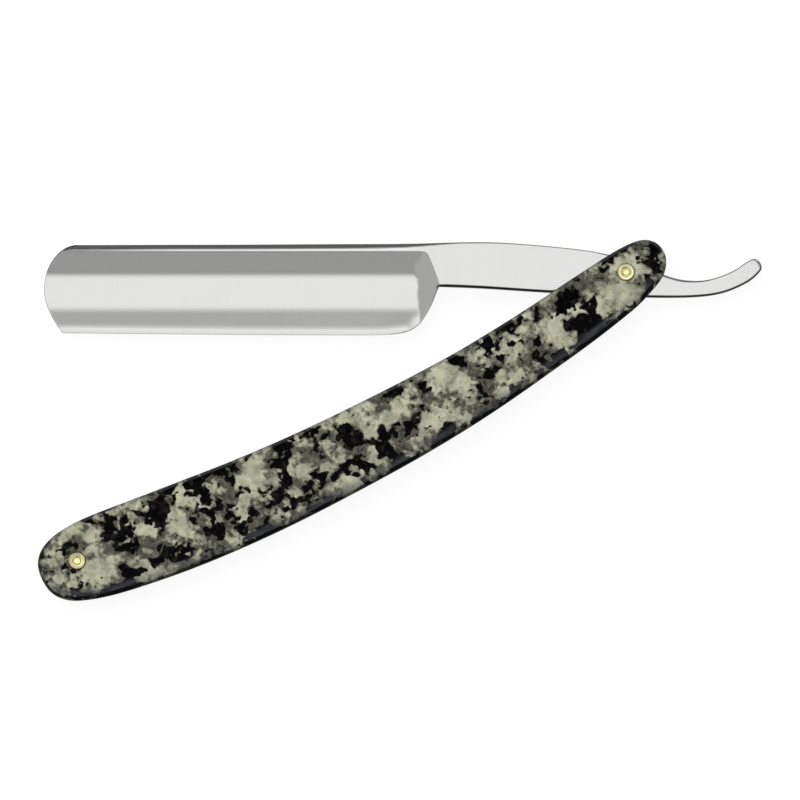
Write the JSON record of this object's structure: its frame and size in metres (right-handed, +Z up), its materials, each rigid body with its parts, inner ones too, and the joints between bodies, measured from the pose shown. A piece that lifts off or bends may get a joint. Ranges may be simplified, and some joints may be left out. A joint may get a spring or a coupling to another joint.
{
  "type": "straight razor",
  "caption": "Folding straight razor: hollow-ground steel blade with a curved tail, pivoting on a brass pin between marbled plastic scales held by a wedge.",
  "frame": {"origin": "the middle of the bottom of the bounding box, with the razor lying on its side", "axes": "+X along the blade towards the tail, +Y across the razor from the cutting edge to the spine, +Z up out of the table, along the pivot pin"},
  "size_m": [0.1552, 0.0774, 0.0111],
  "materials": {
    "blade_steel": "fine polish, darker in the hollow, with faint grind lines along the blade",
    "scale_plastic": "glossy marbled acrylic: pale grey-green ground with smoky and black blotches and fine specks",
    "wedge_plastic": "black, satin",
    "pin_brass": "polished, lightly peened heads",
    "washer_brass": "polished",
    "thrust_brass": "dull, lightly worn"
  },
  "bodies": {
    "handle": {"front_scale": "scale_plastic", "back_scale": "scale_plastic", "wedge": "wedge_plastic", "pivot_pin": "pin_brass", "wedge_pin": "pin_brass", "pivot_base_washer_front": "washer_brass", "pivot_dome_washer_front": "washer_brass", "pivot_base_washer_back": "washer_brass", "pivot_dome_washer_back": "washer_brass", "wedge_base_washer_front": "washer_brass", "wedge_dome_washer_front": "washer_brass", "wedge_base_washer_back": "washer_brass", "wedge_dome_washer_back": "washer_brass", "thrust_washer_front": "thrust_brass", "thrust_washer_back": "thrust_brass"},
    "blade": {"blade": "blade_steel"}
  },
  "joints": [
    {"name": "blade_pivot", "type": "hinge", "parent": "handle", "child": "blade", "pos_m": [0.04834, 0.03179, 0.00557], "axis": [0, 0, 1], "range_deg": [-305, 24.6]}
  ]
}
